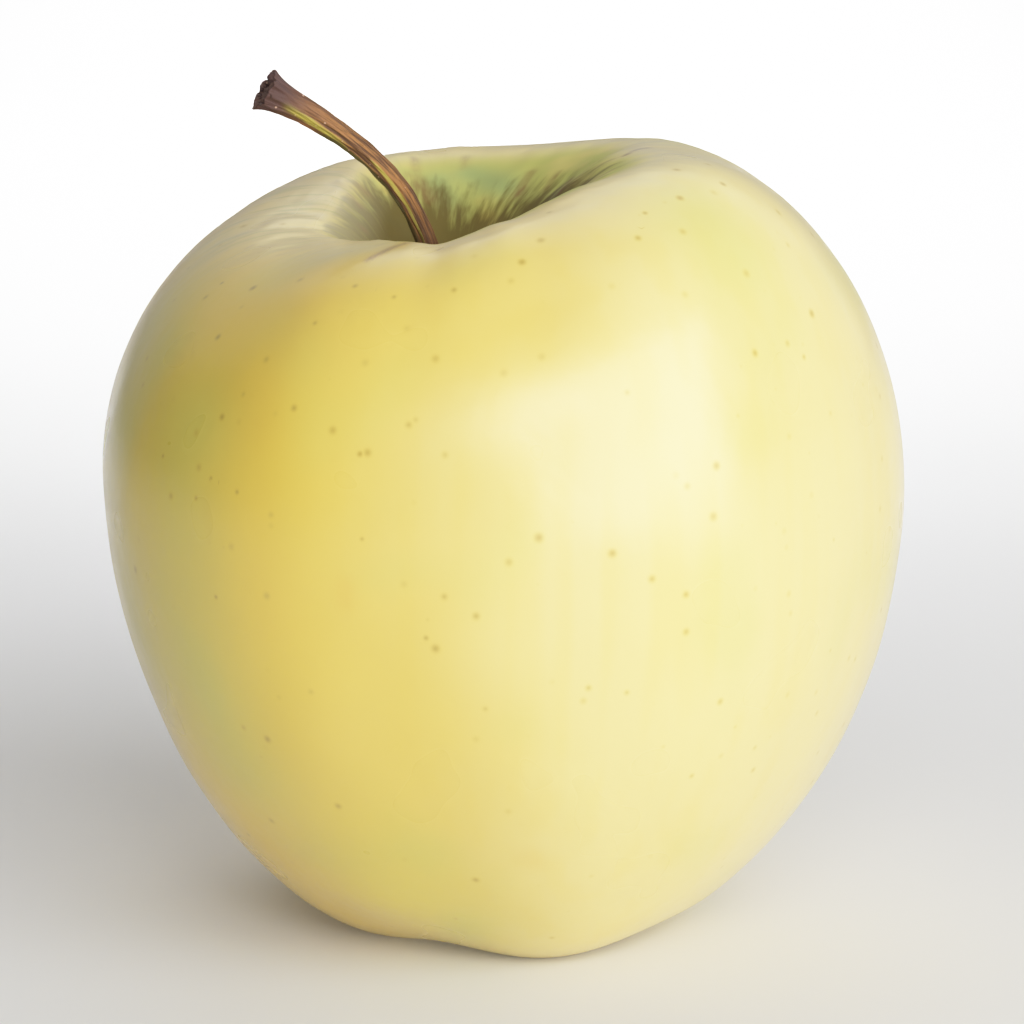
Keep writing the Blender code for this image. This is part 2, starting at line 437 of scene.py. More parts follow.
LENTICELS = (
    Lenticel(253, 288, 0.61, 0.90),
    Lenticel(218, 337, 0.61, 0.72),
    Lenticel(222, 417, 0.61, 0.68),
    Lenticel(222, 283, 0.48, 0.6),
    Lenticel(163, 456, 0.42, 0.6),
    Lenticel(211, 478, 0.46, 0.5),
    Lenticel(196, 498, 0.48, 0.6),
    Lenticel(294, 408, 0.65, 0.63),
    Lenticel(355, 286, 0.65, 0.54),
    Lenticel(394, 297, 0.57, 0.50),
    Lenticel(315, 323, 0.61, 0.45),
    Lenticel(454, 290, 0.61, 0.54),
    Lenticel(522, 262, 0.65, 0.72),
    Lenticel(638, 238, 0.65, 0.54),
    Lenticel(645, 213, 0.48, 0.6),
    Lenticel(680, 198, 0.57, 0.81),
    Lenticel(723, 184, 0.52, 0.81),
    Lenticel(755, 353, 0.72, 0.54),
    Lenticel(804, 357, 0.65, 0.36),
    Lenticel(360, 454, 0.50, 0.70),
    Lenticel(237, 492, 0.50, 0.55),
    Lenticel(362, 539, 0.50, 0.45),
    Lenticel(216, 597, 0.45, 0.60),
    Lenticel(426, 638, 0.50, 0.60),
)


@dataclass(frozen=True)
class Stroke:
    """A tint or a stain drawn on the skin, from one pixel of the photograph to another.

    The width, in millimetres, is from its middle line to where it has faded to a third.
    """

    start: tuple[float, float]
    end: tuple[float, float]
    width: float
    strength: float
    trace: Trace = Trace.STAIN


STROKES = (
    Stroke((309, 204), (366, 231), 0.28, 0.9),
    Stroke((369, 259), (406, 243), 0.45, 0.8),
    Stroke((414, 158), (416, 170), 0.50, 0.6),
    Stroke((413, 176), (427, 198), 0.90, 0.6),
    Stroke((466, 157), (465, 167), 0.50, 0.4),
    Stroke((531, 173), (518, 194), 0.55, 0.7),
    Stroke((557, 174), (546, 187), 0.45, 0.8),
    Stroke((570, 180), (561, 191), 0.40, 0.8),
    Stroke((626, 155), (648, 148), 0.40, 0.9),
    Stroke((335, 183), (362, 206), 0.55, 0.8),
    Stroke((350, 181), (366, 193), 0.50, 0.6),
    Stroke((264, 224), (275, 222), 0.25, 0.5),
    Stroke((245, 249), (254, 245), 0.25, 0.5),
    Stroke((268, 248), (274, 245), 0.25, 0.4),
    Stroke((345, 585), (345, 604), 0.90, 0.25, Trace.BLUSH),
    Stroke((530, 858), (534, 862), 1.50, 0.18, Trace.BLUSH),
    Stroke((305, 310), (262, 420), 3.00, 0.20, Trace.BLUSH),
    Stroke((262, 500), (268, 620), 3.00, 0.10, Trace.BLUSH),
    # The two broad green strokes on the left flank are painted shade, darkening the side away from the key
    # lamp.
    Stroke((150, 330), (145, 650), 9.00, 0.45, Trace.GREEN_AND_SHADE),
    Stroke((190, 430), (236, 760), 6.50, 0.50, Trace.GREEN_AND_SHADE),
    Stroke((700, 215), (735, 250), 6.00, 0.45, Trace.GREEN_AND_SHADE),
    Stroke((380, 870), (450, 925), 8.00, 0.34, Trace.GREEN_AND_SHADE),
    Stroke((470, 172), (505, 186), 1.90, 0.90, Trace.GREEN_AND_SHADE),
    Stroke((437, 180), (445, 200), 1.60, 0.80, Trace.GREEN_AND_SHADE),
)


@dataclass(frozen=True)
class SkinFinish:
    """Waxy yellow skin: mottled ground colour, green in the hollow, russet streaks and lenticels.

    Sizes are in millimetres, colours in linear light. The side that faces -X is golden, and the skin turns
    pale over a stretch across the fruit, which clouds push to and fro. The pale +X side, where the key lamp
    falls, is partly the skin's own tone and partly painted sheen.
    """

    golden: Colour = (0.86, 0.60, 0.095)
    pale: Colour = (0.87, 0.705, 0.28)
    green: Colour = (0.60, 0.60, 0.15)
    mint: Colour = (0.42, 0.50, 0.17)
    # the hollow's dark floor: partly russet, partly painted shade
    deep: Colour = (0.145, 0.098, 0.014)
    orange: Colour = (0.80, 0.46, 0.07)
    russet: Colour = (0.26, 0.115, 0.040)
    line: Colour = (0.50, 0.46, 0.13)
    # pale beige over the left shoulder's crest: partly wax bloom, partly painted sheen
    bloom_and_sheen: Colour = (0.80, 0.72, 0.44)
    lenticel_ring: Colour = (0.66, 0.46, 0.08)
    lenticel_core: Colour = (0.34, 0.21, 0.05)
    cloud_size: float = 26.0
    cloud_push: float = 44.0
    golden_until: float = -2.0
    pale_sheen_from: float = 42.0
    vein_size: float = 3.4
    vein_draw: Colour = (1.0, 1.0, 0.08)   # veins are drawn out down the fruit
    patch_size: float = 15.0
    patch_shift: Colour = (31.0, 7.0, 19.0)
    fibre_size: float = 0.85
    line_size: float = 0.30
    lenticel_spacing: float = 3.2
    lenticel_growth: float = 4.4           # how fast a scattered lenticel fades out round its middle
    lenticel_chance: float = 0.70          # how much smaller than the largest the others may be
    wax: float = 0.30                      # the roughness of the wax
    coat: float = 0.7                      # how much clear wax there is outside the hollow
    haze_size: float = 9.0
    peel_size: float = 1.3
    peel_depth: float = 0.03

    def ground(self, sheet: Sheet, place: Socket) -> Socket:
        """The skin's own colour, before any mark.

        Args:
            sheet: The material's nodes.
            place: Places on the skin.

        Returns:
            The colour.
        """
        clouds = sheet.noise(place, self.cloud_size, 1.0)
        # Golden to pale across the fruit: the pale +X side is partly the skin's own tone and partly painted
        # sheen where the key lamp falls.
        across = sheet.vector("DOT_PRODUCT", place, (1.0, 0.0, 0.0))
        side = sheet.math("MULTIPLY_ADD", clouds, self.cloud_push, across)
        ground = sheet.blend(sheet.step(side, self.golden_until, self.pale_sheen_from), self.golden, self.pale)
        drawn = sheet.vector("MULTIPLY", place, self.vein_draw)
        veins = sheet.noise(drawn, self.vein_size, 1.0, 0.6)
        ground = sheet.blend(sheet.step(veins, 0.40, 0.72, 0.0, 0.14), ground, self.golden)
        patches = sheet.noise(sheet.vector("ADD", place, self.patch_shift), self.patch_size, 1.0)
        # The green strokes on the left flank are painted shade: darker olive on the side away from the key
        # lamp.
        greening = sheet.math("ADD", sheet.step(patches, 0.52, 0.76, 0.0, 0.25), sheet.trace(Trace.GREEN_AND_SHADE))
        ground = sheet.blend(greening, ground, self.green)
        return sheet.blend(sheet.trace(Trace.BLUSH), ground, self.orange)

    def hollowed(self, sheet: Sheet, colour: Socket, place: Socket, fibres: Socket) -> Socket:
        """Lays green, a dark floor that is partly russet and partly painted shade, and russet streaks over
        the stem's hollow.

        Args:
            sheet: The material's nodes.
            colour: The colour below them.
            place: Places on the skin.
            fibres: Noise drawn out along the streaks.

        Returns:
            The colour.
        """
        hollow = sheet.trace(Trace.HOLLOW)
        cloud = sheet.noise(place, 5.0, 1.0)
        clouded = sheet.step(cloud, 0.3, 0.6, 0.45, 1.0)
        greening = sheet.math("MULTIPLY", sheet.step(hollow, 0.02, 0.22), clouded)
        colour = sheet.blend(greening, colour, self.green)
        minted = sheet.math("MULTIPLY", sheet.step(hollow, 0.08, 0.25), sheet.trace(Trace.GREEN_AND_SHADE))
        colour = sheet.blend(minted, colour, self.mint)
        # The dark floor is partly russet and partly painted shade, darkest and highest on the left wall.
        edge = sheet.math("MULTIPLY_ADD", fibres, 0.50, sheet.trace(Trace.BROWNED))
        colour = sheet.blend(sheet.step(edge, 0.15, 0.40, 0.0, 0.94), colour, self.deep)
        stroke = sheet.math("MULTIPLY", sheet.step(fibres, 0.30, 0.62, 0.35, 1.0), sheet.trace(Trace.STAIN))
        return sheet.blend(stroke, colour, self.russet)

    def dotted(self, sheet: Sheet, colour: Socket, place: Socket) -> Socket:
        """Lays the lenticels over the skin: those scattered by chance, and those that stand out.

        Args:
            sheet: The material's nodes.
            colour: The colour below them.
            place: Places on the skin.

        Returns:
            The colour.
        """
        away, chance = sheet.cells(place, self.lenticel_spacing)
        pick = sheet.add("ShaderNodeSeparateColor")
        sheet.feed(pick.inputs[0], chance)
        spread = sheet.math("MULTIPLY", away, self.lenticel_growth)
        faint = sheet.math("MULTIPLY_ADD", pick.outputs[0], self.lenticel_chance, spread)
        nearest = sheet.math("MULTIPLY_ADD", sheet.trace(Trace.HOLLOW), 6.0, faint)
        nearest = sheet.math("ADD", nearest, 0.22)
        away = sheet.vector("DISTANCE", place, sheet.way(Trace.DOT))
        away = sheet.math("MULTIPLY_ADD", away, sheet.trace(Trace.DOT_SCALE), sheet.trace(Trace.DOT_FADE))
        nearest = sheet.math("MINIMUM", nearest, away)
        colour = sheet.blend(sheet.step(nearest, 0.25, 1.30, 0.72, 0.0), colour, self.lenticel_ring)
        return sheet.blend(sheet.step(nearest, 0.1, 1.00, 0.46, 0.0), colour, self.lenticel_core)

    def made(self) -> bpy.types.Material:
        """Makes the skin's material."""
        sheet = Sheet("waxy_skin")
        place = sheet.millimetres()
        run = sheet.way(Trace.RUN)
        fibres = sheet.noise(run, self.fibre_size, 3.0, 0.62, 0.15)
        colour = self.hollowed(sheet, self.ground(sheet, place), place, fibres)
        lines = sheet.noise(sheet.vector("MULTIPLY", run, (1.0, 1.0, 0.22)), self.line_size, 1.0)
        lined = sheet.math("MULTIPLY", sheet.step(lines, 0.50, 0.66), sheet.trace(Trace.LINED))
        # Pale beige over the left shoulder's crest: partly wax bloom, partly painted sheen.
        colour = sheet.blend(sheet.trace(Trace.LINED), colour, self.bloom_and_sheen)
        colour = sheet.blend(lined, colour, self.line)
        colour = self.dotted(sheet, colour, place)
        haze = sheet.noise(place, self.haze_size, 1.0)
        rough = sheet.step(haze, 0.3, 0.7, self.wax - 0.03, self.wax + 0.05)
        matt = sheet.step(sheet.trace(Trace.HOLLOW), 0.02, 0.20)
        rough = sheet.math("MULTIPLY_ADD", matt, 0.45, rough)
        peel = sheet.relief(sheet.noise(place, self.peel_size, 0.0), self.peel_depth * MM)
        coat = sheet.math("MULTIPLY_ADD", matt, -self.coat, self.coat)
        sheet.wear(Base_Color=colour, Roughness=rough, Normal=peel)
        sheet.wear(Coat_Weight=coat, Coat_Roughness=0.24, Coat_IOR=1.4)
        return sheet.material


@dataclass(frozen=True)
class Rings:
    """The fruit's ring sizes at angles round the core, each as one number per column."""

    angle: Array
    crest_r: Array
    crest_z: Array
    wide_r: Array
    wide_z: Array
    foot_r: Array
    foot_z: Array


@dataclass
class Fruit:
    """The fruit: a hollow round the stem, the crest, shoulder, flank and foot, and a basin below.

    A span is the stretch over which something sets in or fades out: for the foot in height, for
    the rest along the skin from the crest, below 0 in the hollow.
    """

    crest_radius: float = 0.0190
    crest_height: float = 0.0728
    widest_radius: float = 0.0390
    widest_height: float = 0.0443
    foot_radius: float = 0.0130
    core_lean: float = 0.0013
    hollow_floor: float = 0.0580
    pit_offset: float = 0.0048
    socket_radius: float = 0.0014
    socket_depth: float = 0.0020
    wall_steepness: float = 0.32
    floor_rounding: float = 0.15
    mouth_rounding: float = 0.42
    shoulder_out: float = 0.63
    shoulder_down: float = 0.49
    flank_down: float = 0.58
    foot_out: float = 0.34
    basin_depth: float = 0.0078
    basin_roof_radius: float = 0.0032
    basin_wall: float = 0.55
    crest_height_waves: tuple[Wave, ...] = (
        Wave(1, 0.00376, -1),
        Wave(2, 0.00088, -41),
        Wave(4, 0.00031, -44),
    )
    crest_radius_waves: tuple[Wave, ...] = (
        Wave(1, 0.00110, 79),
        Wave(2, 0.00270, -77),
        Wave(5, 0.00130, -30),
    )
    widest_radius_waves: tuple[Wave, ...] = (Wave(2, 0.00034, -37), Wave(5, 0.00079, 1))
    widest_height_waves: tuple[Wave, ...] = (Wave(1, 0.00174, 120),)
    foot_radius_waves: tuple[Wave, ...] = (Wave(1, 0.00120, -140), Wave(2, 0.00174, -45))
    foot_lobes: tuple[Wave, ...] = (Wave(5, 0.00040, -76),)
    foot_lobe_spread: float = 0.5
    foot_cut: float = 0.00028
    crest_folds: tuple[Fold, ...] = (Fold(-103.0, 6.0, -0.0004), Fold(-87.0, 6.0, 0.0003))
    ribs: tuple[Rib, ...] = (
        Rib(-121.0, 1.0, 15.0, 0.0009, 0.0009),
        Rib(-77.0, 3.4, 15.0, -0.0004, -0.0012),
    )
    swell: float = 0.00012         # the skin's long low undulations
    ripple: float = 0.00004
    pucker: float = 0.00012        # the folds that cross the crest
    crease: float = 0.00004        # the fine creases between them
    dimple: float = 0.00018        # the unevenness of the hollow's wall
    foot_span: tuple[float, float] = (0.0015, 0.0090)
    socket_reach: float = 0.0050   # how far round the socket the wall stays plain
    rib_span: tuple[float, float] = (0.001, 0.014)
    pucker_in: tuple[float, float] = (-0.012, -0.003)
    pucker_out: tuple[float, float] = (0.001, 0.007)
    dimple_out: tuple[float, float] = (-0.010, -0.002)
    line_in: tuple[float, float] = (-0.010, 0.0)
    line_out: tuple[float, float] = (0.003, 0.009)
    left_shoulder: Fold = Fold(165.0, 48.0, 1.0)
    left_pucker_reach: float = 0.010
    left_line_reach: float = 0.008
    least_pucker: float = 0.4      # the puckers' strength away from the left shoulder
    brown_edge: float = 0.28       # how deep in the hollow its dark floor, russet with painted shade, starts
    # the waves raise the dark floor highest on the left wall, partly as painted shade
    brown_edge_waves: tuple[Wave, ...] = (Wave(1, 0.09, -20), Wave(2, 0.13, 82))
    brown_bar: float = 0.35        # keeps the dark floor off the skin outside the hollow
    mouth_depth: float = 0.10      # the share of the hollow's depth over which it does so
    line_strength: float = 0.5
    dot_reach: float = 0.0022      # how far round a lenticel the skin knows of it
    columns: int = 400
    hollow_rings: int = 56
    shoulder_rings: int = 60
    flank_rings: int = 84
    basin_rings: int = 26
    shift: Array = field(init=False)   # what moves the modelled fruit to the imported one's place

    def rings(self) -> Rings:
        """The sizes of the fruit's rings in each column."""
        angle = np.arange(self.columns) * 360.0 / self.columns
        foot_z = -summed(self.foot_lobes, angle)
        foot_spread = summed(self.foot_radius_waves, angle) - self.foot_lobe_spread * foot_z
        crest_rise = summed(self.crest_height_waves, angle) + summed(self.crest_folds, angle)
        return Rings(
            angle,
            self.crest_radius + summed(self.crest_radius_waves, angle),
            self.crest_height + crest_rise,
            self.widest_radius + summed(self.widest_radius_waves, angle),
            self.widest_height + summed(self.widest_height_waves, angle),
            self.foot_radius + foot_spread,
            foot_z,
        )

    def core_x(self, height: Array | float) -> Array | float:
        """Where the leaning core stands at a height."""
        return -self.core_lean * (height - self.widest_height) / self.crest_height

    def placed(self, rings: Rings, radius: Array, height: Array, pit_share: Array | float = 0.0) -> Array:
        """Points of the skin; pit_share moves their ring's middle from the core to the pit."""
        turn = np.radians(rings.angle)
        radius, height, _ = np.broadcast_arrays(radius, height, turn)
        x = self.core_x(height) - self.pit_offset * pit_share + radius * np.cos(turn)
        return np.stack([x, radius * np.sin(turn), height], -1)

    def hollow(self, rings: Rings, t: Array) -> Array:
        """The hollow's wall, from the socket's edge at t = 0 to the crest at t = 1."""
        share = bezier(0.0, self.floor_rounding, 1.0 - self.mouth_rounding, 1.0, t)
        knee = self.hollow_floor + self.wall_steepness * (rings.crest_z - self.hollow_floor)
        height = bezier(self.hollow_floor, knee, rings.crest_z, rings.crest_z, t)
        radius = self.socket_radius + (rings.crest_r - self.socket_radius) * share
        return self.placed(rings, radius, height, 1.0 - share)

    def shoulder(self, rings: Rings, t: Array) -> Array:
        """The shoulder, from the crest to the widest ring."""
        out = rings.crest_r + self.shoulder_out * (rings.wide_r - rings.crest_r)
        down = rings.wide_z + self.shoulder_down * (rings.crest_z - rings.wide_z)
        radius = bezier(rings.crest_r, out, rings.wide_r, rings.wide_r, t)
        return self.placed(rings, radius, bezier(rings.crest_z, rings.crest_z, down, rings.wide_z, t))

    def flank(self, rings: Rings, t: Array) -> Array:
        """The flank, from the widest ring to the foot."""
        down = rings.wide_z - self.flank_down * (rings.wide_z - rings.foot_z)
        out = rings.foot_r + self.foot_out * (rings.wide_r - rings.foot_r)
        radius = bezier(rings.wide_r, rings.wide_r, out, rings.foot_r, t)
        return self.placed(rings, radius, bezier(rings.wide_z, down, rings.foot_z, rings.foot_z, t))

    def basin(self, rings: Rings, t: Array) -> Array:
        """The basin's wall, from the foot to the edge of its flat roof."""
        steep = rings.foot_r + self.basin_wall * (self.basin_roof_radius - rings.foot_r)
        radius = bezier(rings.foot_r, steep, steep, self.basin_roof_radius, t)
        height = bezier(rings.foot_z, rings.foot_z, self.basin_depth, self.basin_depth, t)
        return self.placed(rings, radius, height)

    def plain(self, rings: Rings) -> Array:
        """The skin without its relief, from the socket's floor to the basin's roof.

        Args:
            rings: The fruit's ring sizes.

        Returns:
            The points, as rings by columns by 3.
        """
        def steps(count: int, last: bool = False) -> Array:
            """Even steps from 0 towards 1, as one column."""
            return np.linspace(0.0, 1.0, count, endpoint=last)[:, None]

        floor = self.placed(rings, self.socket_radius, self.hollow_floor - self.socket_depth, 1.0)
        stretches = [
            floor[None],
            self.hollow(rings, steps(self.hollow_rings)),
            self.shoulder(rings, steps(self.shoulder_rings)),
            self.flank(rings, steps(self.flank_rings)),
            self.basin(rings, steps(self.basin_rings, last=True)),
        ]
        return np.concatenate(stretches)

    def from_crest(self, skin: Array) -> Array:
        """How far each point is from the crest along the skin, below 0 in the hollow."""
        lengths = np.linalg.norm(np.diff(skin, axis=0), axis=-1)
        run = np.concatenate([np.zeros((1, self.columns)), np.cumsum(lengths, axis=0)])
        return run - run[1 + self.hollow_rings]

    @staticmethod
    def outward(skin: Array) -> Array:
        """The surface's direction at each point."""
        round_core = np.roll(skin, -1, 1) - np.roll(skin, 1, 1)
        down = np.gradient(skin, axis=0)
        outward = np.cross(down, round_core)
        return outward / np.maximum(np.linalg.norm(outward, axis=-1, keepdims=True), 1e-12)

    def relief(self, skin: Array, rings: Rings, far: Array) -> Array:
        """How far each point stands proud of the plain skin.

        Args:
            skin: The plain skin.
            rings: The fruit's ring sizes.
            far: How far each point is from the crest along the skin.

        Returns:
            The heights, in metres.
        """
        clear_of_foot = ramp(skin[..., 2], *self.foot_span)
        clear_of_socket = ramp(far, far[1].max(), far[1].max() + self.socket_reach)
        body = self.swell * Unevenness(0.026, 11).at(skin)
        body = body + self.ripple * Unevenness(0.010, 12).at(skin)
        ribs = sum(rib.at(rings.angle, skin[..., 2]) for rib in self.ribs)
        body = body + ribs * ramp(far, *self.rib_span)
        turn = np.radians(rings.angle)
        wheel = np.stack([np.cos(turn), np.sin(turn), 0.0 * turn], -1)
        drawn = wheel + np.array([0.0, 0.0, 1.0]) * (far / 0.030)[..., None]
        puckers = self.pucker * Unevenness(0.22, 13).at(drawn)
        puckers = puckers + self.crease * Unevenness(0.075, 14).at(drawn)
        left = self.left_shoulder.at(rings.angle)
        start, end = self.pucker_out
        crossing = ramp(far, *self.pucker_in) * (1.0 - ramp(far, start, end + self.left_pucker_reach * left))
        crossing = crossing * (self.least_pucker + (1.0 - self.least_pucker) * left)
        walls = self.dimple * Unevenness(0.0055, 15).at(skin) * (1.0 - ramp(far, *self.dimple_out))
        return clear_of_socket * (clear_of_foot * body + puckers * crossing + walls)

    def traces(self, rings: Rings, far: Array) -> dict[Trace, Array]:
        """What the skin's finish reads at each point.

        Args:
            rings: The fruit's ring sizes.
            far: How far each point is from the crest along the skin.

        Returns:
            How deep it is in the hollow, where the hollow's floor is dark with russet and painted shade,
            where the crest is lined and laid with painted sheen, and the way that streaks run.
        """
        deepest = -far[1]
        hollow = np.clip(-far / deepest, 0.0, 1.0)
        turn = np.radians(rings.angle)
        browned = hollow - self.brown_edge - summed(self.brown_edge_waves, rings.angle)
        browned = browned - self.brown_bar * (1.0 - ramp(hollow, 0.0, self.mouth_depth))
        left = self.left_shoulder.at(rings.angle)
        start, end = self.line_out
        lined = ramp(far, *self.line_in) * (1.0 - ramp(far, start, end + self.left_line_reach * left))
        lined = self.line_strength * left * lined
        run = np.stack([8.0 * np.cos(turn) + 0.0 * far, 8.0 * np.sin(turn) + 0.0 * far, far / (7.0 * MM)], -1)
        return {Trace.HOLLOW: hollow, Trace.BROWNED: browned, Trace.LINED: lined, Trace.RUN: run}

    def build(self) -> bpy.types.Object:
        """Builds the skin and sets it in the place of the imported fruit.

        Returns:
            The skin.
        """
        rings = self.rings()
        skin = self.plain(rings)
        far = self.from_crest(skin)
        skin = skin + self.relief(skin, rings, far)[..., None] * self.outward(skin)
        level = skin[..., 2].min() + self.foot_cut
        skin[..., 2] = np.maximum(skin[..., 2], level)
        low, high = skin.min((0, 1)), skin.max((0, 1))
        cad_low, cad_high = (np.array(corner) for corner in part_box(Solid.FRUIT.value))
        self.shift = np.array([*((cad_low + cad_high - low - high) / 2.0)[:2], cad_low[2] - low[2]])
        middle = np.array([*((cad_low + cad_high) / 2.0)[:2], cad_low[2]])
        skin = middle + (skin + self.shift - middle) * (cad_high - cad_low) / (high - low)
        shell = Shell("skin")
        shell.add(skin[0].mean(0), skin, skin[-1].mean(0), self.traces(rings, far))
        return shell.built()

    @staticmethod
    def find(skin: bpy.types.Object, camera: PhotoCamera, x: float, y: float) -> Vector | None:
        """Where the camera sees the skin at a pixel of the photograph, if it does."""
        hit, where, _, _ = skin.ray_cast(camera.place(), camera.ray(x, y))
        return where if hit else None

    def mark(self, skin: bpy.types.Object, camera: PhotoCamera) -> None:
        """Draws the strokes and the lenticels on the skin.

        Args:
            skin: The built skin.
            camera: The camera at the photograph's angle.
        """
        bpy.context.view_layer.update()
        points = np.zeros(3 * len(skin.data.vertices))
        skin.data.vertices.foreach_get("co", points)
        points = points.reshape(-1, 3)
        bare = {trace: np.ones(len(points)) for trace in (Trace.STAIN, Trace.BLUSH, Trace.GREEN_AND_SHADE)}
        for stroke in STROKES:
            ends = [self.find(skin, camera, *end) for end in (stroke.start, stroke.end)]
            if None in ends:
                log.info("a stroke from %s misses the skin", stroke.start)
                continue
            start, way = np.array(ends[0]), np.array(ends[1] - ends[0])
            share = np.clip((points - start) @ way / (way @ way), 0.0, 1.0)
            away = np.linalg.norm(points - start - share[:, None] * way, axis=1)
            bare[stroke.trace] *= 1.0 - stroke.strength * np.exp(-((away / (stroke.width * MM)) ** 2))
        for trace, left in bare.items():
            write_trace(skin.data, trace, 1.0 - left)
        dots = np.tile([0.0, 0.0, -1.0], (len(points), 1))
        scale, fade = np.ones(len(points)), np.ones(len(points))
        for lenticel in LENTICELS:
            where = self.find(skin, camera, lenticel.x, lenticel.y)
            near = np.linalg.norm(points - np.array(where), axis=1) < self.dot_reach
            dots[near] = where
            scale[near] = 1.0 / lenticel.radius
            fade[near] = 0.8 * (1.0 - lenticel.strength)
        write_trace(skin.data, Trace.DOT, dots / MM)
        write_trace(skin.data, Trace.DOT_SCALE, scale)
        write_trace(skin.data, Trace.DOT_FADE, fade)


@dataclass(frozen=True)
class BarkFinish:
    """The stem's bark: grooved brown wood, yellow-green where it is young, dark where it broke off."""

    brown: Colour = (0.40, 0.175, 0.045)
    dark: Colour = (0.105, 0.046, 0.020)
    aged: Colour = (0.165, 0.070, 0.038)
    yellow: Colour = (0.50, 0.42, 0.07)
    olive: Colour = (0.105, 0.095, 0.030)
    purple: Colour = (0.080, 0.038, 0.034)
    torn: Colour = (0.20, 0.115, 0.085)
    fleck: Colour = (0.75, 0.48, 0.32)

    def made(self) -> bpy.types.Material:
        """Makes the bark's material."""
        sheet = Sheet("stem_bark")
        run = sheet.way(Trace.RUN)
        along = sheet.trace(Trace.ALONG)
        fibres = sheet.noise(run, 0.26, 5.0, 0.65, 0.1)
        colour = sheet.blend(sheet.step(fibres, 0.40, 0.60), self.dark, self.brown)
        specks = sheet.noise(sheet.vector("MULTIPLY", run, (1.0, 1.0, 5.0)), 0.22, 2.0)
        colour = sheet.blend(sheet.step(specks, 0.50, 0.68, 0.0, 0.45), colour, self.dark)
        aged = sheet.math("MULTIPLY_ADD", fibres, 0.30, along)
        colour = sheet.blend(sheet.step(aged, 0.86, 1.10, 0.0, 0.70), colour, self.aged)
        frayed = sheet.math("MULTIPLY_ADD", fibres, 2.0, sheet.trace(Trace.YOUNG))
        colour = sheet.blend(sheet.step(frayed, 1.2, 1.9, 0.0, 0.9), colour, self.yellow)
        worn = sheet.math("MULTIPLY_ADD", fibres, 0.8, sheet.trace(Trace.OLIVE))
        colour = sheet.blend(sheet.step(worn, 0.75, 1.15, 0.0, 0.92), colour, self.olive)
        ragged = sheet.math("MULTIPLY_ADD", fibres, 0.16, along)
        colour = sheet.blend(sheet.step(ragged, 0.93, 1.05, 0.0, 0.94), colour, self.purple)
        colour = sheet.blend(sheet.step(along, 0.48, 0.28, 0.0, 0.75), colour, self.dark)
        colour = sheet.blend(sheet.step(along, 1.01, 1.05, 0.0, 0.8), colour, self.torn)
        away, _ = sheet.cells(sheet.millimetres(), 1.1)
        colour = sheet.blend(sheet.step(away, 0.05, 0.13, 0.8, 0.0), colour, self.fleck)
        grain = sheet.relief(fibres, 0.00016)
        sheet.wear(Base_Color=colour, Roughness=sheet.step(fibres, 0.3, 0.7, 0.75, 0.55), Normal=grain)
        return sheet.material


@dataclass(frozen=True)
class Stripe:
    """A coloured stripe that runs along the stem and may wind round it.

    The angle, in degrees, is where it stands at the stem's foot, and by the end it has turned
    back by the twist. It fades in and out over spans of the share of the stem's length.
    """

    angle: float
    twist: float
    width: float
    fade_in: tuple[float, float] | None = None
    fade_out: tuple[float, float] | None = None

    def at(self, held: Array, angle: Array) -> Array:
        """How strong it is at shares of the stem's length and angles round it."""
        stripe = Fold(self.angle, self.width, 1.0).at(angle + self.twist * held)
        if self.fade_in is not None:
            stripe = stripe * ramp(held, *self.fade_in)
        if self.fade_out is not None:
            stripe = stripe * (1.0 - ramp(held, *self.fade_out))
        return stripe


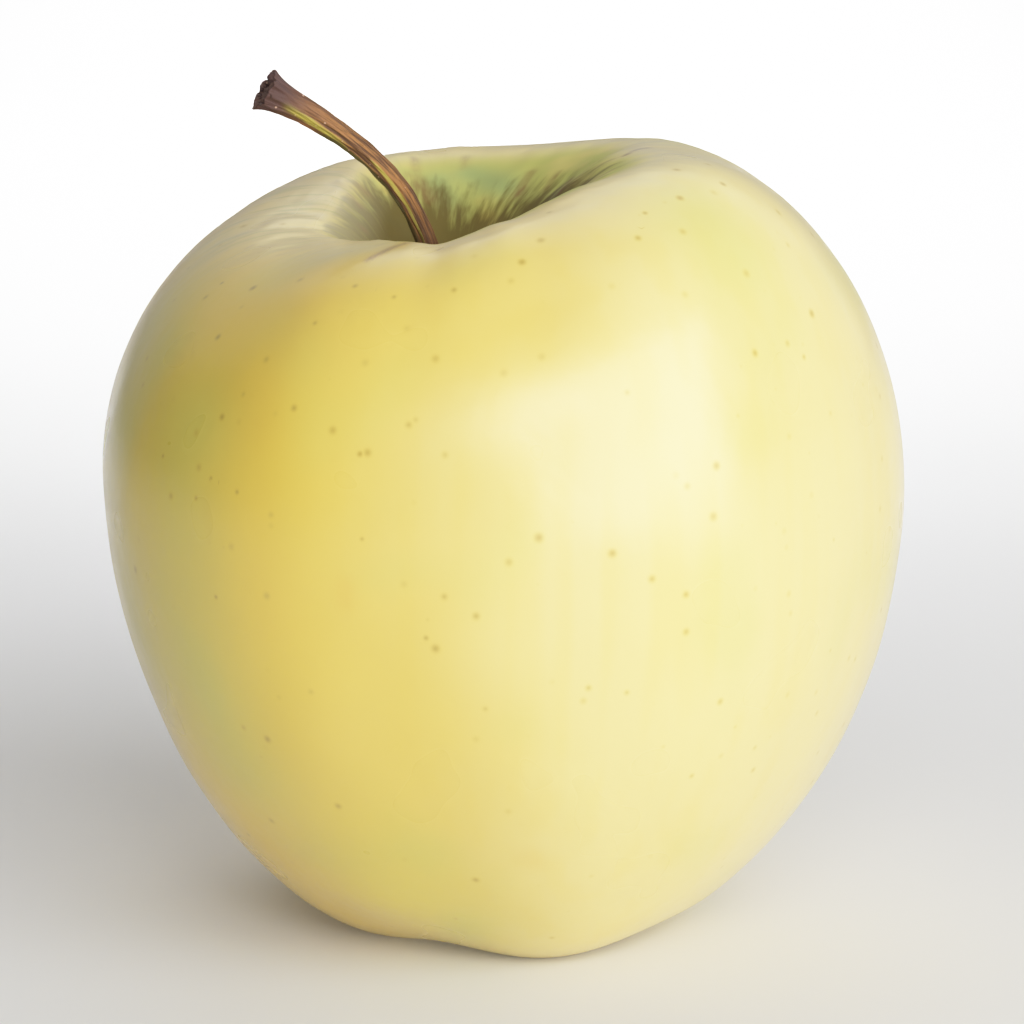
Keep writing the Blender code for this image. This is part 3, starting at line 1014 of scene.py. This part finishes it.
@dataclass
class Stem:
    """The stem: a grooved stalk that bends to -X and flares into a torn end."""

    radius: float = 0.00098
    foot_swell: float = 0.00010
    end_flare: float = 0.00099
    flare_length: float = 0.0034
    rise: float = 0.0169
    bend: tuple[float, float, float] = (-0.0131, 0.0008, 0.0771)
    tip: tuple[float, float, float] = (-0.0222, -0.0015, 0.0826)
    end_waves: tuple[Wave, ...] = (Wave(2, 0.10, -17), Wave(3, 0.06, 19))
    dish: float = 0.00045
    groove: float = 0.00007
    torn: float = 0.00022
    torn_reach: float = 0.0012     # how far from the end the bark is torn
    pitting: float = 0.00016       # the unevenness of the end's face
    knob: float = 0.00062          # the radius of the lump on the end's upper corner
    touch_gap: float = 0.0003
    young: tuple[Stripe, ...] = (
        Stripe(41.4, 130.0, 20.0, (0.66, 0.76), (0.90, 0.98)),
        Stripe(-67.0, 30.0, 10.0, None, (0.58, 0.68)),
        Stripe(100.0, 60.0, 24.0, (0.35, 0.50), (0.90, 0.98)),
    )
    edge: Stripe = Stripe(-24.0, 0.0, 34.0, None, (0.74, 0.86))
    columns: int = 120
    steps: int = 240
    end_rings: int = 14
    slivers: int = 30
    sliver_length: tuple[float, float] = (0.00045, 0.00080)
    sliver_radius: tuple[float, float] = (0.00006, 0.00013)
    sliver_lean: float = 0.45
    sliver_sink: float = 0.0006    # how far below the end the slivers are rooted
    bare_above: float = 0.25       # the share of the rim's height above which no sliver stands

    def middle(self, fruit: Fruit) -> Array:
        """The middle line, from the socket to the torn end."""
        pit_x = fruit.core_x(fruit.hollow_floor) - fruit.pit_offset
        foot = np.array([pit_x, 0.0, fruit.hollow_floor - fruit.socket_depth + self.touch_gap])
        above = foot + np.array([0.0, 0.0, self.rise])
        t = np.linspace(0.0, 1.0, self.steps)[:, None]
        return bezier(foot, above, np.array(self.bend), np.array(self.tip), t) + fruit.shift

    @staticmethod
    def axes(line: Array) -> tuple[Array, Array, Array]:
        """The directions along the stem, to its side and to its front, at each step."""
        along = np.gradient(line, axis=0)
        along /= np.linalg.norm(along, axis=1, keepdims=True)
        side = np.cross(along, np.array([0.0, 1.0, 0.0]))
        side /= np.linalg.norm(side, axis=1, keepdims=True)
        return along, side, np.cross(side, along)

    def radii(self, run: Array, angle: Array) -> Array:
        """The radius at each step and angle, with its grooves.

        Args:
            run: How far each step is from the foot.
            angle: The angles round the stem.

        Returns:
            The radii, as steps by columns.
        """
        from_end = (run[-1] - run)[:, None]
        flare = np.exp(-from_end / self.flare_length)
        swell = self.foot_swell * np.exp(-run[:, None] / self.flare_length)
        plain = self.radius + swell + self.end_flare * flare * (1.0 + summed(self.end_waves, angle))
        turn = np.radians(angle)
        stretched = np.stack(np.broadcast_arrays(np.cos(turn), np.sin(turn), run[:, None] / 0.012), -1)
        fine = Unevenness(0.55, 31).at(stretched) + 0.6 * Unevenness(0.26, 32).at(stretched)
        knots = Unevenness(0.9, 33).at(stretched * np.array([1.0, 1.0, 5.0]))
        return plain + self.groove * (fine * (1.0 + 1.2 * flare) + 0.5 * knots)

    def build(self, fruit: Fruit) -> bpy.types.Object:
        """Builds the stem.

        Args:
            fruit: The fruit that it stands in.

        Returns:
            The stem.
        """
        line = self.middle(fruit)
        run = np.concatenate([[0.0], np.cumsum(np.linalg.norm(np.diff(line, axis=0), axis=1))])
        along, side, front = self.axes(line)
        angle = np.arange(self.columns) * 360.0 / self.columns
        turn = np.radians(angle)
        wheel = np.stack([np.cos(turn), np.sin(turn), 0.0 * turn], -1)
        spoke = side[:, None] * np.cos(turn)[:, None] + front[:, None] * np.sin(turn)[:, None]
        radii = self.radii(run, angle)
        tear = -self.torn * np.abs(Unevenness(0.8, 34).at(wheel) + 0.6 * Unevenness(0.3, 35).at(wheel))
        near_end = ramp(run, run[-1] - self.torn_reach, run[-1])[:, None]
        body = line[:, None] + radii[..., None] * spoke + (near_end * tear)[..., None] * along[:, None]
        rim = spoke[-1] * radii[-1][:, None]
        rings = np.concatenate([body, line[-1] + self.face(wheel, tear, along[-1], rim)])
        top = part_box(Solid.STEM.value)[1][2]
        rings[..., 2] = np.minimum(rings[..., 2], top)
        held = np.concatenate([run / run[-1], np.full(self.end_rings, FACE_SHARE)])[:, None] + 0.0 * angle
        shell = Shell("stem_wood")
        shell.add(line[0], rings, line[-1] - self.dish * along[-1], self.traces(held, angle))
        upper = rim[self.columns // 2]
        corner = line[-1] + upper * (1.0 - self.knob / np.linalg.norm(upper)) - 0.3 * self.knob * along[-1]
        corner[2] = min(corner[2], top - 1.02 * self.knob)
        lump(shell, corner, self.knob, 38)
        self.fringe(shell, line[-1], along[-1], rim)
        return shell.built()

    def face(self, wheel: Array, tear: Array, along: Array, rim: Array) -> Array:
        """The dished face of the torn end.

        Args:
            wheel: Directions round a plain circle, one for each column.
            tear: How far the bark is torn away in each column.
            along: The direction that the end faces.
            rim: The end's edge, from its middle.

        Returns:
            Its points from the end's middle, as rings by columns by 3.
        """
        shares = np.linspace(1.0, 0.0, self.end_rings + 2)[1:-1, None]
        flat = shares[..., None] * wheel
        pits = self.pitting * Unevenness(0.45, 36).at(flat) * (1.0 - shares**6)
        sunk = self.dish * (1.0 - shares**4) + pits
        return shares[..., None] * rim + (tear * shares - sunk)[..., None] * along

    def traces(self, held: Array, angle: Array) -> dict[Trace, Array]:
        """What the bark's finish reads at each point.

        Args:
            held: Each point's share of the stem's length.
            angle: The angles round the stem.

        Returns:
            That share, the way that fibres run, the yellow stripes and the dark green edge.
        """
        turn = np.radians(angle)
        way = np.stack(np.broadcast_arrays(np.cos(turn), np.sin(turn), 1.6 * held), -1)
        young = sum(stripe.at(held, angle) for stripe in self.young)
        return {Trace.ALONG: held, Trace.RUN: way, Trace.YOUNG: young, Trace.OLIVE: self.edge.at(held, angle)}

    def fringe(self, shell: Shell, end: Array, along: Array, rim: Array) -> None:
        """Adds the torn fibres that stick out round the end.

        Args:
            shell: The stem's mesh.
            end: The middle of the torn end.
            along: The direction that it faces.
            rim: The end's edge, from its middle.
        """
        draw = np.random.default_rng(37)
        for _ in range(self.slivers):
            root = rim[draw.integers(len(rim))] * draw.uniform(0.55, 0.97)
            if root[2] > self.bare_above * rim[:, 2].max():
                continue
            lean = along + draw.normal(size=3) * self.sliver_lean
            length = draw.uniform(*self.sliver_length)
            radius = draw.uniform(*self.sliver_radius)
            tube(shell, end + root - along * self.sliver_sink, lean, length, radius, 1.0)


def lump(shell: Shell, middle: Array, radius: float, seed: int) -> None:
    """Adds a small uneven lump of bark.

    Args:
        shell: The mesh that it joins.
        middle: Its middle.
        radius: How large it is.
        seed: Where its random unevenness starts.
    """
    tilt = np.radians(np.arange(1, 12) * 15.0)[:, None]
    turn = np.radians(np.arange(24) * -15.0)
    across, ahead = np.sin(tilt) * np.cos(turn), np.sin(tilt) * np.sin(turn)
    ways = np.stack(np.broadcast_arrays(across, ahead, np.cos(tilt)), -1)
    size = radius * (0.88 + 0.10 * Unevenness(0.9, seed).at(ways))
    rings = middle + size[..., None] * ways
    held = np.ones(rings.shape[:2])
    traces = {Trace.ALONG: held, Trace.RUN: ways, Trace.YOUNG: 0.0 * held, Trace.OLIVE: 0.0 * held}
    pole = np.array([0.0, 0.0, 0.85 * radius])
    shell.add(middle + pole, rings, middle - pole, traces)


def tube(shell: Shell, root: Array, way: Array, length: float, radius: float, along: float) -> None:
    """Adds a thin tapering fibre.

    Args:
        shell: The mesh that it joins.
        root: Where it starts.
        way: The direction that it takes.
        length: How long it is.
        radius: How thick it is at its root.
        along: What it carries for the finish as its place along the piece.
    """
    way = way / np.linalg.norm(way)
    side = np.cross(way, np.array([0.31, 0.87, 0.38]))
    side /= np.linalg.norm(side)
    front = np.cross(side, way)
    turn = np.radians(np.arange(8) * 45.0)
    steps = np.linspace(0.0, 1.0, 6)[:-1]
    spoke = side * np.cos(turn)[:, None] + front * np.sin(turn)[:, None]
    rings = root + (steps * length)[:, None, None] * way
    rings = rings + (radius * (1.0 - steps**2))[:, None, None] * spoke
    held = np.full(rings.shape[:2], along)
    run = np.stack(np.broadcast_arrays(np.cos(turn), np.sin(turn), 9.0 * steps[:, None]), -1)
    traces = {Trace.ALONG: held, Trace.RUN: run, Trace.YOUNG: 0.0 * held, Trace.OLIVE: 0.0 * held}
    shell.add(root - 0.3 * radius * way, rings, root + length * way, traces)


@dataclass(frozen=True)
class HuskFinish:
    """The dried calyx: brown papery sepals with paler edges and down."""

    brown: Colour = (0.115, 0.070, 0.032)
    pale: Colour = (0.30, 0.215, 0.110)
    dark: Colour = (0.035, 0.022, 0.012)

    def made(self) -> bpy.types.Material:
        """Makes the husk's material."""
        sheet = Sheet("dried_husk")
        place = sheet.millimetres()
        veins = sheet.noise(sheet.vector("MULTIPLY", place, (3.0, 3.0, 0.5)), 0.9, 4.0, 0.6)
        colour = sheet.blend(sheet.step(veins, 0.35, 0.65), self.dark, self.brown)
        down = sheet.noise(place, 0.35, 4.0, 0.7)
        colour = sheet.blend(sheet.step(down, 0.50, 0.70, 0.0, 0.7), colour, self.pale)
        sheet.wear(Base_Color=colour, Roughness=sheet.step(down, 0.3, 0.7, 0.80, 0.95))
        sheet.wear(Normal=sheet.relief(veins, 0.00015))
        return sheet.material


@dataclass
class Calyx:
    """The dried calyx in the basin: a short cup, five curled sepals and the stamens inside."""

    radius: float = 0.0027
    cup: float = 0.0014
    sepal_length: float = 0.0052
    waist: float = 0.0009
    waist_end: float = 0.7
    curl: float = 0.0022
    thickness: float = 0.00034
    sepal_width: float = 0.00185       # half of its width near the cup
    crumple: float = 0.00022
    touch_gap: float = 0.0003
    sepals: int = 5
    sepal_rings: int = 40
    sepal_columns: int = 36
    stamens: int = 15
    stamen_ring: float = 0.0014        # how far from the core the stamens are rooted
    stamen_sink: float = 0.0005        # how far below the seat they are rooted
    stamen_length: tuple[float, float] = (0.0018, 0.0029)
    stamen_radius: float = 0.00013
    stamen_lean: float = 0.30
    style_length: float = 0.0024
    style_radius: float = 0.0004

    def spine(self, down: Array) -> Array:
        """How far a sepal's middle line is from the core, at depths below the calyx's seat."""
        share = down / self.sepal_length
        waist = self.waist * np.sin(math.pi * np.minimum(1.0, share / self.waist_end))
        return self.radius - waist + self.curl * share**4 - 0.5 * self.thickness

    def sepal(self, shell: Shell, seat: Array, angle: float, seed: int) -> None:
        """Adds one sepal: a thin crumpled leaf.

        Args:
            shell: The mesh that it joins.
            seat: The middle of the calyx's seat.
            angle: Where the sepal stands round the core, in degrees.
            seed: Where its random crumpling starts.
        """
        t = np.linspace(0.02, 0.97, self.sepal_rings)[:, None]
        across = np.radians(np.arange(self.sepal_columns) * 360.0 / self.sepal_columns)
        width = self.sepal_width * (1.0 - t**1.8) * (0.75 + 0.5 * t)
        down = t * self.sepal_length * 0.99
        reach = self.spine(down)
        sideways = width * np.cos(across)
        where = np.stack(np.broadcast_arrays(3.0 * t, sideways / 0.0018, 0.0 * t), -1)
        bent = self.crumple * Unevenness(0.9, seed).at(where) * ramp(t, 0.05, 0.5)
        cupped = 0.5 * sideways**2 / self.radius * (1.0 - 2.2 * t)
        out = reach - cupped + bent + 0.5 * self.thickness * np.sin(across)
        turn = math.radians(angle)
        outward = np.array([math.cos(turn), math.sin(turn), 0.0])
        round_core = np.array([-math.sin(turn), math.cos(turn), 0.0])
        rings = seat + out[..., None] * outward + sideways[..., None] * round_core
        rings[..., 2] -= down
        shell.add(rings[0].mean(0), rings, rings[-1].mean(0))

    def build(self, fruit: Fruit) -> list[bpy.types.Object]:
        """Builds the calyx.

        Args:
            fruit: The fruit whose basin it hangs in.

        Returns:
            The sepals on their cup, and the stamens.
        """
        height = fruit.basin_depth - self.touch_gap
        seat = fruit.shift + np.array([fruit.core_x(height), 0.0, height])
        husk = Shell("sepals")
        self.seat_cup(husk, seat)
        for k in range(self.sepals):
            self.sepal(husk, seat, 36.0 + 72.0 * k, 41 + k)
        threads = Shell("stamens")
        draw = np.random.default_rng(51)
        for k in range(self.stamens):
            spin = math.radians(360.0 * k / self.stamens + draw.uniform(-9, 9))
            out = np.array([math.cos(spin), math.sin(spin), 0.0])
            root = seat + out * self.stamen_ring - np.array([0.0, 0.0, self.stamen_sink])
            lean = self.stamen_lean * out + np.array([0.0, 0.0, -1.0]) + draw.normal(size=3) * 0.12
            tube(threads, root, lean, draw.uniform(*self.stamen_length), self.stamen_radius, 0.5)
        root = seat - np.array([0.0, 0.0, self.style_radius])
        tube(threads, root, np.array([0.05, 0.02, -1.0]), self.style_length, self.style_radius, 0.5)
        return [husk.built(), threads.built()]

    def seat_cup(self, husk: Shell, seat: Array) -> None:
        """Adds the short cup that carries the sepals, hanging from its seat."""
        down = np.array([0.0, 0.45, 0.9, 1.0, 0.95, 0.55])[:, None] * self.cup
        width = np.array([0.95, 1.0, 0.97, 0.90, 0.84, 0.82])[:, None] * self.radius
        turn = np.radians(np.arange(60) * 6.0)
        reach = width * (1.0 + 0.03 * np.cos(5 * turn) + 0.02 * np.cos(13 * turn))
        cup = np.stack(np.broadcast_arrays(reach * np.cos(turn), reach * np.sin(turn), -down), -1)
        husk.add(seat, seat + cup, seat + np.array([0.0, 0.0, -0.5 * self.cup]))


@dataclass(frozen=True)
class FloorFinish:
    """A plain pale floor, with faint clouds, whose size is in millimetres."""

    cloud_size: float = 60.0
    white: Colour = (0.80, 0.80, 0.80)
    shade: Colour = (0.785, 0.785, 0.785)
    glow: float = 0.06             # lights the floor a little from within, as a light table

    def made(self) -> bpy.types.Material:
        """Makes the floor's material."""
        sheet = Sheet("pale_floor")
        cloud = sheet.noise(sheet.millimetres(), self.cloud_size, 0.0)
        colour = sheet.blend(sheet.step(cloud, 0.3, 0.7), self.white, self.shade)
        sheet.wear(Base_Color=colour, Roughness=0.85)
        sheet.wear(Emission_Color=(1.0, 1.0, 1.0), Emission_Strength=self.glow)
        return sheet.material


@dataclass(frozen=True)
class Softbox:
    """A large soft lamp that faces the fruit. Angles are seen from the fruit, 0 towards the camera."""

    name: str
    azimuth: float
    elevation: float
    distance: float
    width: float
    height: float
    radiance: float
    roll: float = 0.0

    def build(self, aim: Vector) -> None:
        """Adds the lamp, facing aim."""
        data = bpy.data.lights.new(self.name, "AREA")
        data.shape = "RECTANGLE"
        data.size, data.size_y = self.width, self.height
        data.energy = self.radiance * math.pi * self.width * self.height
        turn, rise = math.radians(self.azimuth), math.radians(self.elevation)
        back = Vector((math.sin(turn) * math.cos(rise), -math.cos(turn) * math.cos(rise), math.sin(rise)))
        made = bpy.data.objects.new(self.name, data)
        made.location = aim + self.distance * back
        made.rotation_mode = "QUATERNION"
        facing = (-back).to_track_quat("-Z", "Y")
        made.rotation_quaternion = facing @ Quaternion((0.0, 0.0, 1.0), math.radians(self.roll))
        made.visible_camera = False
        bpy.context.scene.collection.objects.link(made)


@dataclass(frozen=True)
class Glow:
    """A bright part of the studio's white surroundings: its direction and how far it spreads."""

    way: tuple[float, float, float]
    spread: float
    strength: float


@dataclass
class Studio:
    """The plain floor, the soft lamps and the white surroundings."""

    floor_side: float = 8.0
    base: float = 0.02
    glows: tuple[Glow, ...] = (
        Glow((0.0, 0.0, 1.0), 1.3, 0.16),
        Glow((0.0, 1.0, 0.1), 1.2, 0.45),
    )
    lamps: tuple[Softbox, ...] = (
        Softbox("key", 39.0, 14.0, 0.9, 1.24, 0.95, 4.15),
        Softbox("key_wing", -1.0, 31.0, 0.9, 0.28, 0.28, 5.0, 45.0),
        Softbox("lift", 30.0, 45.0, 0.9, 0.70, 0.70, 0.6),
        Softbox("edge", 125.0, 20.0, 0.9, 0.70, 0.70, 0.5),
        Softbox("back_left", -150.0, 52.0, 0.9, 1.10, 0.90, 0.24),
        Softbox("back_top", 170.0, 52.0, 0.9, 0.80, 0.80, 0.7),
    )
    backdrop_place: tuple[float, float, float] = (0.0, 0.50, 0.9)
    backdrop_size: tuple[float, float] = (0.16, 0.54)
    backdrop_spread: float = 0.48  # the angle that its light keeps to, in radians
    backdrop_power: float = 1.05
    knee: float = 0.4              # the brightness where the picture's highlights start to roll off
    white: float = 2.5             # the brightness that comes out as pure white
    curve_steps: int = 10

    def surroundings(self) -> None:
        """Sets the world: even light with brighter parts."""
        world = bpy.data.worlds.new("studio")
        world.use_nodes = True
        bpy.context.scene.world = world
        tree = world.node_tree
        background = tree.nodes["Background"]
        background.inputs["Color"].default_value = (1.0, 1.0, 1.0, 1.0)
        way = tree.nodes.new("ShaderNodeTexCoord").outputs["Generated"]
        total = None
        for glow in self.glows:
            dot = tree.nodes.new("ShaderNodeVectorMath")
            dot.operation = "DOT_PRODUCT"
            dot.inputs[1].default_value = Vector(glow.way).normalized()
            tree.links.new(way, dot.inputs[0])
            reach = tree.nodes.new("ShaderNodeMapRange")
            reach.interpolation_type = "SMOOTHSTEP"
            reach.inputs["From Min"].default_value = math.cos(glow.spread)
            reach.inputs["To Max"].default_value = glow.strength
            tree.links.new(dot.outputs["Value"], reach.inputs["Value"])
            plus = tree.nodes.new("ShaderNodeMath")
            plus.inputs[1].default_value = self.base
            tree.links.new(reach.outputs[0], plus.inputs[0])
            if total is not None:
                tree.links.new(total, plus.inputs[1])
            total = plus.outputs[0]
        tree.links.new(total, background.inputs["Strength"])

    def build(self, aim: Vector) -> None:
        """Builds the studio round the fruit.

        Args:
            aim: The point that the lamps face.
        """
        half = self.floor_side / 2.0
        mesh = bpy.data.meshes.new("floor")
        corners = [(-half, -half, 0.0), (half, -half, 0.0), (half, half, 0.0), (-half, half, 0.0)]
        mesh.from_pydata(corners, [], [(0, 1, 2, 3)])
        floor = bpy.data.objects.new("floor", mesh)
        mesh.materials.append(FloorFinish().made())
        bpy.context.scene.collection.objects.link(floor)
        for lamp in self.lamps:
            lamp.build(aim)
        self.backdrop()
        self.surroundings()
        self.exposure()

    def backdrop(self) -> None:
        """Adds the lamp that whitens the floor behind the fruit."""
        data = bpy.data.lights.new("backdrop", "AREA")
        data.shape = "RECTANGLE"
        data.size, data.size_y = self.backdrop_size
        data.spread = self.backdrop_spread
        data.energy = self.backdrop_power
        made = bpy.data.objects.new("backdrop", data)
        made.location = self.backdrop_place
        made.visible_camera = False
        bpy.context.scene.collection.objects.link(made)

    def exposure(self) -> None:
        """Sets how brightness becomes a picture: plain up to the knee, then a soft roll-off to white."""
        settings = bpy.context.scene.view_settings
        settings.view_transform = "Standard"
        settings.use_curve_mapping = True
        mapping = settings.curve_mapping
        mapping.white_level = (self.white, self.white, self.white)
        mapping.extend = "HORIZONTAL"
        curve = mapping.curves[3]
        power = (self.white - self.knee) / (1.0 - self.knee)
        for step in range(self.curve_steps):
            share = step / self.curve_steps
            light = self.knee + share * (self.white - self.knee)
            shown = self.knee + (1.0 - self.knee) * (1.0 - (1.0 - share) ** power)
            curve.points.new(light / self.white, shown)
        mapping.update()


def dress(
    piece: bpy.types.Object, finish: bpy.types.Material, slot: Slot, solid: Solid | None = None
) -> None:
    """Gives a piece its finish and its place in the frame, and reports it.

    Args:
        piece: The built piece.
        finish: Its material.
        slot: The record's slot that the finish stands for.
        solid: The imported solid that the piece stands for, if any.
    """
    piece.data.materials.append(finish)
    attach(piece, "root")
    if solid is not None:
        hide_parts(solid.value)
    piece.data.calc_loop_triangles()
    log.info("%s: %d triangles, slot %s", piece.name, len(piece.data.loop_triangles), slot.value)


def main() -> None:
    """Builds the apple and its studio in order."""
    logging.basicConfig(level=logging.INFO)
    camera = PhotoCamera()
    camera.build()
    fruit = Fruit()
    skin = fruit.build()
    fruit.mark(skin, camera)
    dress(skin, SkinFinish().made(), Slot.SKIN, Solid.FRUIT)
    dress(Stem().build(fruit), BarkFinish().made(), Slot.STEM, Solid.STEM)
    sepals, stamens = Calyx().build(fruit)
    husk = HuskFinish().made()
    dress(sepals, husk, Slot.CALYX, Solid.CALYX)
    dress(stamens, husk, Slot.CALYX)
    Studio().build(Vector(camera.aim))
    log.info("boxes written")


if __name__ == "__main__":
    main()
